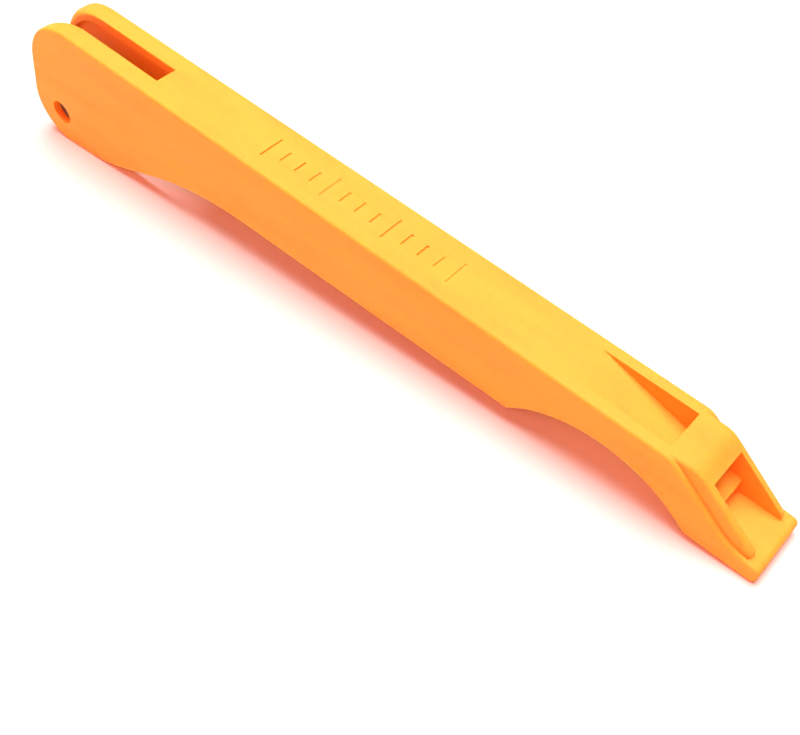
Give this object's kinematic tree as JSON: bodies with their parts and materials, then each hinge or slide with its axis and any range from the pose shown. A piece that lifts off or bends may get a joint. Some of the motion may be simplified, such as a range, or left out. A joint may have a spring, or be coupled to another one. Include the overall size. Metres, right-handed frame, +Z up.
{
  "type": "hand foiler",
  "caption": "Slim moulded hand tool with a forked end, a steel roller in the fork, an open foil channel below and a guide tongue, for taping copper foil round glass edges.",
  "frame": {"origin": "middle of the bounding box's underside, with the tool standing on the soles of its ears and the toe of its tongue", "axes": "+X runs along the tool from the fork to the tongue, +Y across it, along the roller's axis, and +Z up"},
  "size_m": [0.1456, 0.0108, 0.0244],
  "materials": {
    "plastic": "satin moulded plastic, amber yellow",
    "pin_steel": "plain drawn steel",
    "roller_steel": "smooth turned steel"
  },
  "bodies": {
    "handle": {"body": "plastic", "axle_pin": "pin_steel"},
    "roller": {"roller": "roller_steel"}
  },
  "joints": [
    {"name": "roller_spin", "type": "hinge", "parent": "handle", "child": "roller", "pos_m": [-0.06602, 0, 0.00612], "axis": [0, 1, 0], "continuous": true}
  ]
}
